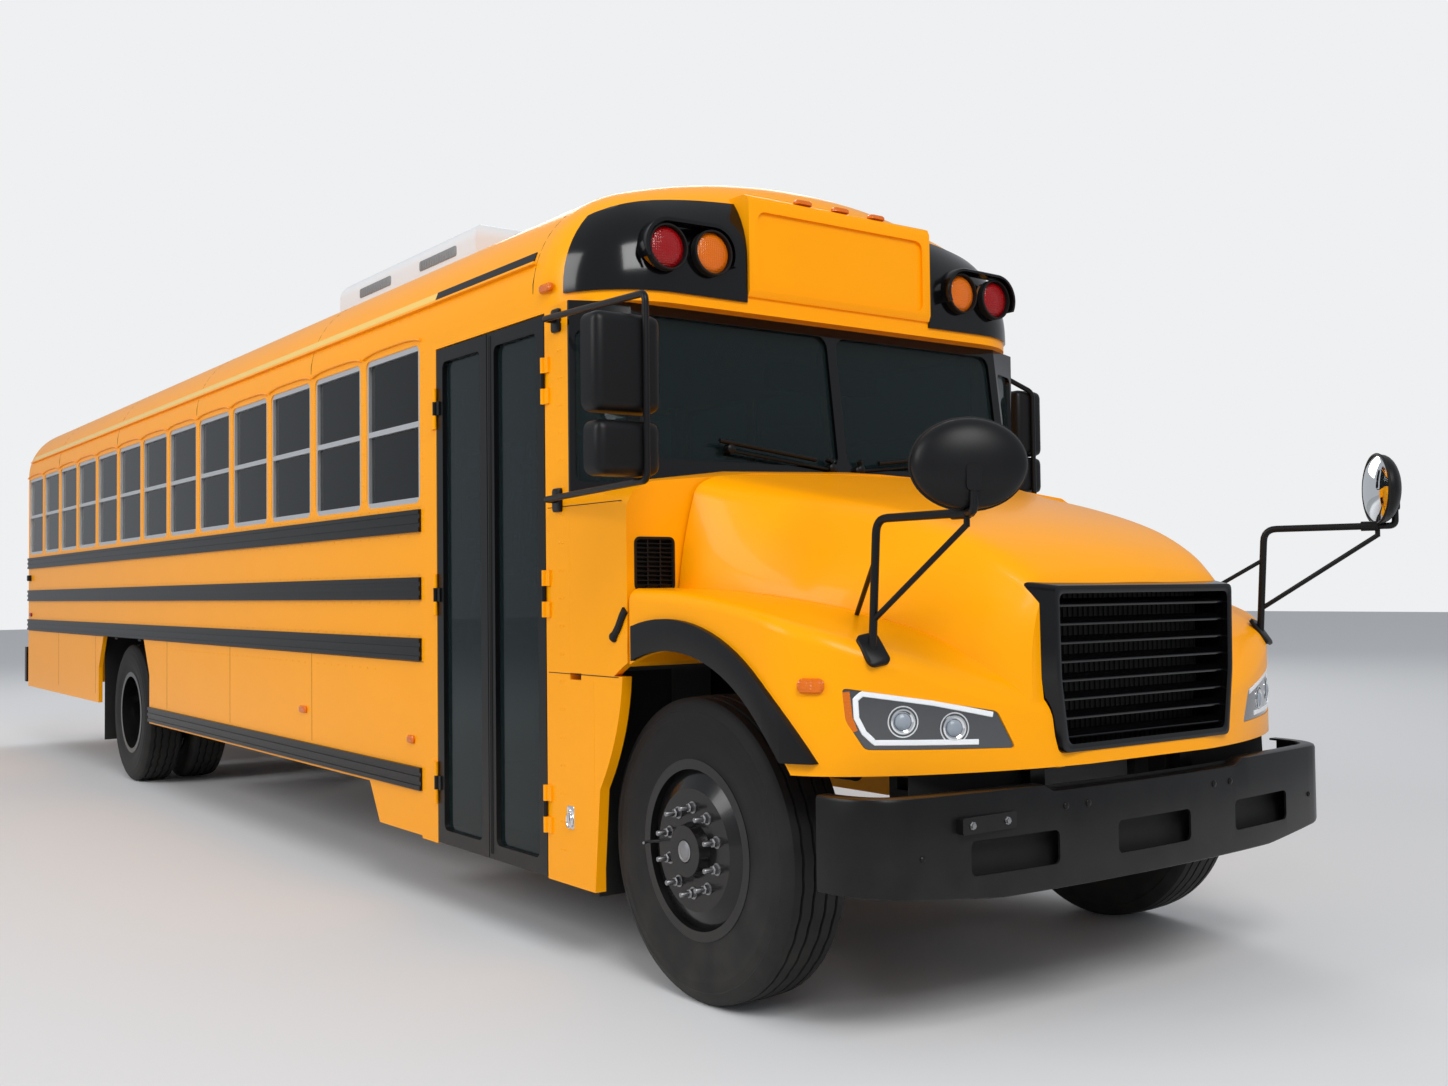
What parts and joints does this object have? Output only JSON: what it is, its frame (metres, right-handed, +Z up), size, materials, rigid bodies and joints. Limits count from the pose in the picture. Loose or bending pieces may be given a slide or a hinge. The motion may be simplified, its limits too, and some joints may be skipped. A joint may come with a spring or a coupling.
{
  "type": "school bus",
  "caption": "Conventional school bus with a tilting hood, hollow passenger body with bench seats, folding entrance door, rear emergency door and dual rear wheels.",
  "frame": {"origin": "on the ground, in the middle of the bus's whole length and width", "axes": "+Z up; the bus faces -Y, and its entrance door is on the -X side"},
  "size_m": [3.1, 12.44, 3.2999],
  "materials": {
    "body_paint": "gloss orange-yellow paint",
    "black_paint": "satin black paint",
    "black_gloss": "gloss black panel",
    "black_plastic": "moulded black plastic",
    "rubber": "matte rubber",
    "tyre": "road tyre rubber",
    "sash": "anodised aluminium",
    "window": "tinted safety glass",
    "clear_glass": "clear safety glass",
    "red_lens": "red lens",
    "amber_lens": "amber lens",
    "lamp": "clear lamp housing",
    "chassis_black": "chassis black",
    "engine_metal": "cast engine block",
    "exhaust_steel": "heat-dulled steel",
    "seat_vinyl": "seat vinyl",
    "floor_cover": "ribbed rubber floor covering",
    "roof_white": "white paint",
    "sign_red": "red reflective sheet",
    "rim_black": "black wheel paint"
  },
  "bodies": {
    "root": {"roof": "body_paint", "front_cap": "body_paint", "lamp_pods": "black_gloss", "red_lamps": "red_lens", "amber_lamps": "amber_lens", "side_wall_right": "body_paint", "side_wall_left": "body_paint", "door_surround": "body_paint", "skirts": "body_paint", "rub_rails": "black_paint", "window_frames": "sash", "side_glass": "window", "windshield_frame": "black_gloss", "windshield_glass": "clear_glass", "cowl": "body_paint", "floor": "floor_cover", "rear_wall": "body_paint", "chassis_frame": "chassis_black", "cross_members": "chassis_black", "engine": "engine_metal", "fuel_tank": "chassis_black", "exhaust": "exhaust_steel", "front_axle": "chassis_black", "rear_axle": "chassis_black", "side_mirrors": "black_plastic", "front_bumper": "black_paint", "rear_bumper": "black_paint", "seat_cushions": "seat_vinyl", "seat_backs": "seat_vinyl", "seat_legs": "chassis_black", "driver_seat": "seat_vinyl", "dashboard": "black_plastic", "roof_units": "roof_white", "stop_arm_bracket": "black_paint", "mudflaps": "rubber", "wipers": "black_plastic"},
    "hood": {"hood": "body_paint", "headlamps": "lamp", "grille": "black_plastic", "fender_flares": "black_plastic", "crossview_mirrors": "black_plastic"},
    "entrance_leaf_front": {"entrance_leaf_front": "black_paint", "entrance_glass_front": "clear_glass"},
    "entrance_leaf_rear": {"entrance_leaf_rear": "black_paint", "entrance_glass_rear": "clear_glass"},
    "rear_door": {"rear_door": "body_paint", "rear_door_glass": "window"},
    "stop_arm": {"stop_arm": "sign_red"},
    "roof_hatch": {"roof_hatch": "roof_white"},
    "knuckle_right": {"knuckle_right": "chassis_black"},
    "knuckle_left": {"knuckle_left": "chassis_black"},
    "tie_rod": {"tie_rod": "chassis_black"},
    "front_wheel_right": {"front_tyre_right": "tyre", "front_rim_right": "rim_black"},
    "front_wheel_left": {"front_tyre_left": "tyre", "front_rim_left": "rim_black"},
    "rear_wheels_right": {"rear_tyres_right": "tyre", "rear_rims_right": "rim_black"},
    "rear_wheels_left": {"rear_tyres_left": "tyre", "rear_rims_left": "rim_black"}
  },
  "joints": [
    {"name": "hood_tilt", "type": "hinge", "parent": "root", "child": "hood", "pos_m": [0, -5.87, 0.835], "axis": [1, 0, 0], "range_deg": [0, 75]},
    {"name": "steer_right", "type": "hinge", "parent": "root", "child": "knuckle_right", "pos_m": [-0.86, -4.93, 0.515], "axis": [0, 0, 1], "range_deg": [-35, 35]},
    {"name": "steer_left", "type": "hinge", "parent": "root", "child": "knuckle_left", "pos_m": [0.86, -4.93, 0.515], "axis": [0, 0, 1], "range_deg": [-35, 35]},
    {"name": "tie_rod_pivot", "type": "hinge", "parent": "knuckle_right", "child": "tie_rod", "pos_m": [-0.86, -4.72, 0.27], "axis": [0, 0, 1], "range_deg": [-35, 35]},
    {"name": "front_spin_right", "type": "hinge", "parent": "knuckle_right", "child": "front_wheel_right", "pos_m": [-1.027, -4.93, 0.515], "axis": [1, 0, 0], "continuous": true},
    {"name": "front_spin_left", "type": "hinge", "parent": "knuckle_left", "child": "front_wheel_left", "pos_m": [1.027, -4.93, 0.515], "axis": [1, 0, 0], "continuous": true},
    {"name": "rear_spin_right", "type": "hinge", "parent": "root", "child": "rear_wheels_right", "pos_m": [-0.865, 2.47, 0.515], "axis": [1, 0, 0], "continuous": true},
    {"name": "rear_spin_left", "type": "hinge", "parent": "root", "child": "rear_wheels_left", "pos_m": [0.865, 2.47, 0.515], "axis": [1, 0, 0], "continuous": true},
    {"name": "entrance_front", "type": "hinge", "parent": "root", "child": "entrance_leaf_front", "pos_m": [-1.228, -4.051, 1.38], "axis": [0, 0, 1], "range_deg": [0, 85]},
    {"name": "entrance_rear", "type": "hinge", "parent": "root", "child": "entrance_leaf_rear", "pos_m": [-1.228, -3.075, 1.38], "axis": [0, 0, 1], "range_deg": [-85, 0]},
    {"name": "rear_door_swing", "type": "hinge", "parent": "root", "child": "rear_door", "pos_m": [-0.467, 6.159, 1.795], "axis": [0, 0, 1], "range_deg": [0, 100]},
    {"name": "stop_arm_swing", "type": "hinge", "parent": "root", "child": "stop_arm", "pos_m": [1.263, -3.74, 1.56], "axis": [0, 0, -1], "range_deg": [0, 90]},
    {"name": "hatch_lift", "type": "hinge", "parent": "root", "child": "roof_hatch", "pos_m": [0, 4.78, 3.126], "axis": [-1, 0, 0], "range_deg": [0, 40]}
  ],
  "couplings": [
    {"joint": "steer_left", "follows": "steer_right", "ratio": 1},
    {"joint": "tie_rod_pivot", "follows": "steer_right", "ratio": -1},
    {"joint": "entrance_rear", "follows": "entrance_front", "ratio": -1}
  ]
}
